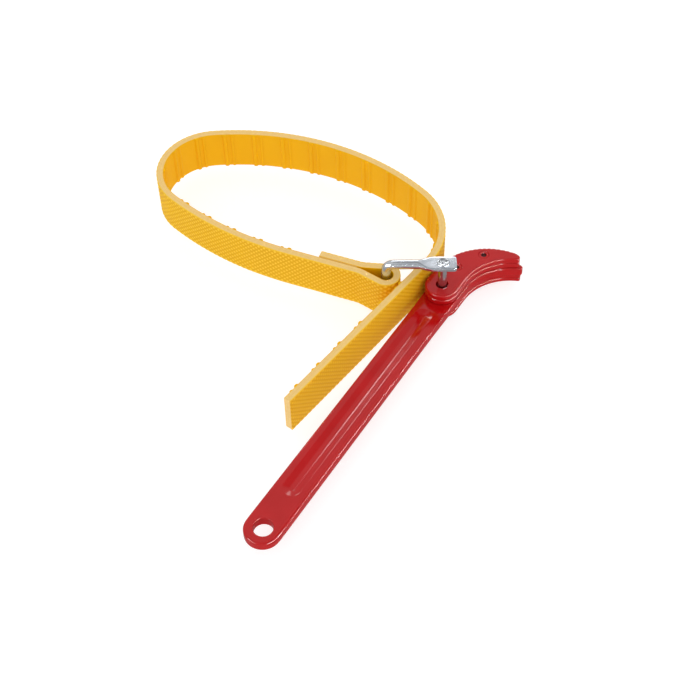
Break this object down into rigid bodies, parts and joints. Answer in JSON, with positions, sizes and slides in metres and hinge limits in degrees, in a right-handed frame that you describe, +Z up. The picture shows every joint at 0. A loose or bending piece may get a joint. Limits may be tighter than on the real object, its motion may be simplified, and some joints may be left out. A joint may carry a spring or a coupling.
{
  "type": "oil filter strap wrench",
  "caption": "Flat steel handle with a laminated claw head; a swinging shackle draws a ribbed rubber belt loop tight round a round canister so it can be turned.",
  "frame": {"origin": "under the middle of the whole tool as it lies, on the surface it rests on", "axes": "+X along the handle from the hang hole to the head, +Y from the handle towards the belt loop, +Z up along the pivot pin"},
  "size_m": [0.3048, 0.2696, 0.0498],
  "materials": {
    "red_paint": "gloss red paint over pressed steel plate",
    "plated_steel": "bright plated forged bar",
    "pin_steel": "plated pin with formed ends",
    "belt_rubber": "amber yellow rubber, textured outside, ribbed inside",
    "belt_fabric": "woven ply, seen at the cut edges",
    "belt_skim_rubber": "thin amber rubber between plies"
  },
  "bodies": {
    "handle": {"handle_plate": "red_paint", "cheek_upper_outer": "red_paint", "cheek_upper_inner": "red_paint", "cheek_lower_inner": "red_paint", "cheek_lower_outer": "red_paint", "head_rivets": "red_paint"},
    "pin": {"pivot_pin": "pin_steel"},
    "shackle": {"shackle": "plated_steel"},
    "belt": {"belt_outer_cover": "belt_rubber", "belt_outer_ply": "belt_fabric", "belt_skim": "belt_skim_rubber", "belt_inner_ply": "belt_fabric", "belt_inner_cover": "belt_rubber", "belt_bond": "belt_skim_rubber"}
  },
  "joints": [
    {"name": "pin_float", "type": "slide", "parent": "handle", "child": "pin", "axis": [0, 0, 1], "range_m": [-0.0179, 0]},
    {"name": "shackle_swing", "type": "hinge", "parent": "pin", "child": "shackle", "pos_m": [0.07854, -0.09791, 0.0249], "axis": [0, 0, 1], "range_deg": [-7, 5]},
    {"name": "belt_swing", "type": "hinge", "parent": "shackle", "child": "belt", "pos_m": [0.05874, -0.06541, 0.0249], "axis": [0, 0, 1], "range_deg": [-1.5, 2]}
  ]
}
